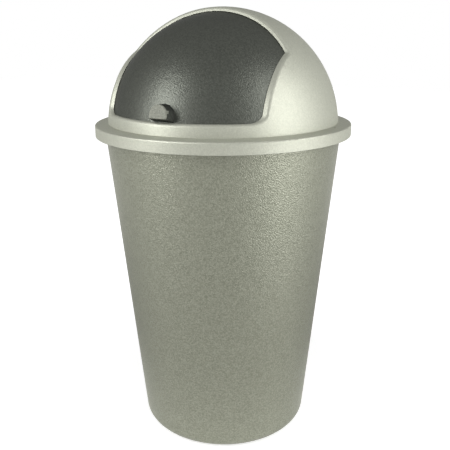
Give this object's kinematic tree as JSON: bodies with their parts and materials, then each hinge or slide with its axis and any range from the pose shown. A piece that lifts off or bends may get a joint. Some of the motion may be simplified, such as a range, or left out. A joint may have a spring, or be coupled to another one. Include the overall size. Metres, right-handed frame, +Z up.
{
  "type": "swing-lid trash can",
  "caption": "Tall tapered round waste bin with a lift-off domed lid, whose spherical flap swings up inside the dome by a small D-shaped knob.",
  "frame": {"origin": "middle of the foot, on the surface that the bin stands on", "axes": "+Z up along the bin's axis, -Y to the front, where the flap's knob is, +X along the flap's hinge axis"},
  "size_m": [0.3999, 0.4, 0.6816],
  "materials": {
    "body_plastic": "fine-grained metallic grey plastic",
    "lid_plastic": "satin silver-grey plastic",
    "flap_plastic": "fine-grained anthracite plastic",
    "cap_plastic": "silver-grey plastic",
    "screw_steel": "zinc plated",
    "pin_plastic": "dark plastic"
  },
  "bodies": {
    "bin": {"bin_body": "body_plastic"},
    "lid": {"dome_lid": "lid_plastic", "pivot_pin_left": "pin_plastic", "pivot_pin_right": "pin_plastic"},
    "flap": {"swing_flap": "flap_plastic", "knob": "flap_plastic", "knob_cap": "cap_plastic", "knob_screw": "screw_steel"}
  },
  "joints": [
    {"name": "lid_lift", "type": "slide", "parent": "bin", "child": "lid", "axis": [0, 0, 1], "range_m": [0, 0.12]},
    {"name": "flap_hinge", "type": "hinge", "parent": "lid", "child": "flap", "pos_m": [0, 0, 0.5016], "axis": [-1, 0, 0], "range_deg": [0, 64]}
  ]
}
